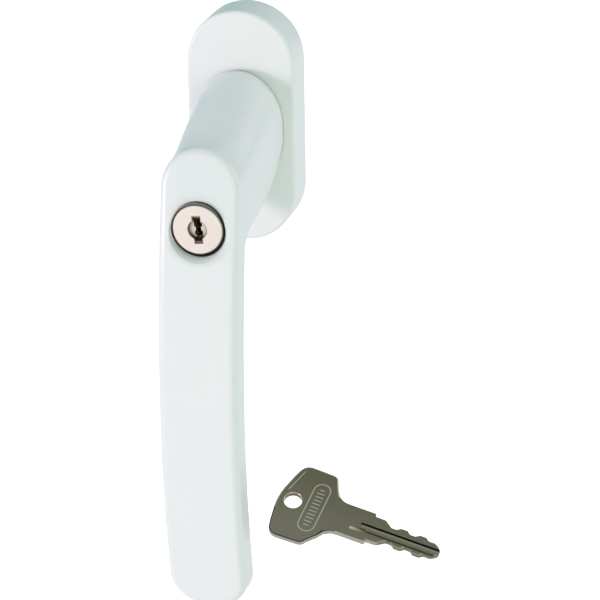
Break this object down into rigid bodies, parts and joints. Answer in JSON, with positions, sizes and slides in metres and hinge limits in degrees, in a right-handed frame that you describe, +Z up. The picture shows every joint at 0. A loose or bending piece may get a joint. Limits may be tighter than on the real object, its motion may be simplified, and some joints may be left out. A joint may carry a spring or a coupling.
{
  "type": "locking window handle",
  "caption": "Lockable window handle: bowed grip on a sloping neck, stadium rosette, square spindle, key lock that bolts the neck to the rosette, and a loose flat key.",
  "frame": {"origin": "on the spindle's axis, in the plane of the rosette's back face, which rests on the window's sash", "axes": "+Z up with the grip hanging down (window closed), +X to the right seen from the room, -Y out into the room, so the spindle runs along Y"},
  "size_m": [0.0774, 0.0937, 0.1729],
  "materials": {
    "cover": "smooth satin powder coat, white",
    "handle": "smooth satin powder coat, white",
    "base_plastic": "moulded, light grey",
    "bush_plastic": "moulded bearing plastic",
    "zinc_steel": "zinc plated",
    "spring_steel": "bright spring steel",
    "black_steel": "blackened steel",
    "bezel": "polished nickel",
    "lock_metal": "die-cast zinc",
    "lock_face": "satin nickel",
    "brass": "machined",
    "key_metal": "nickel plated, worn at the grooves"
  },
  "bodies": {
    "rosette": {"rosette_cover": "cover", "rosette_base": "base_plastic", "fixing_screws": "zinc_steel", "bearing_bush": "bush_plastic", "thrust_plate": "zinc_steel", "detent_spring": "spring_steel"},
    "handle": {"handle_body": "handle", "square_spindle": "zinc_steel", "spindle_pin": "spring_steel", "index_cam": "zinc_steel", "disc_spring": "spring_steel", "retaining_ring": "spring_steel", "lock_housing": "lock_metal", "lock_bezel": "bezel", "lock_grub_screw": "black_steel"},
    "plug": {"lock_plug": "brass", "plug_cap": "lock_face", "plug_clip": "spring_steel", "drive_cam": "lock_metal", "cam_screw": "zinc_steel", "wafer_springs": "spring_steel"},
    "wafer_set": {"wafers": "brass"},
    "bolt": {"locking_bolt": "zinc_steel", "bolt_carrier": "lock_metal", "follower_pin": "zinc_steel"},
    "loose_key": {"key": "key_metal"}
  },
  "joints": [
    {"name": "handle_turn", "type": "hinge", "parent": "rosette", "child": "handle", "pos_m": [0, 0, 0], "axis": [0, 1, 0], "range_deg": [0, 180], "deforming": ["detent_spring"]},
    {"name": "plug_turn", "type": "hinge", "parent": "handle", "child": "plug", "pos_m": [0, -0.0488, -0.01635], "axis": [0, 1, 0], "range_deg": [0, 90]},
    {"name": "bolt_slide", "type": "slide", "parent": "handle", "child": "bolt", "axis": [0, 1, 0], "range_m": [0, 0.004]},
    {"name": "wafer_slide", "type": "slide", "parent": "plug", "child": "wafer_set", "axis": [-0.0958, 0, 0.9954], "range_m": [0, 0.0006], "deforming": ["wafer_springs"]},
    {"name": "key_lift", "type": "slide", "parent": "rosette", "child": "loose_key", "axis": [0, -1, 0], "range_m": [0, 0.015]}
  ],
  "couplings": [
    {"joint": "plug_turn", "follows": "bolt_slide", "rad_per_m": 392.7}
  ]
}
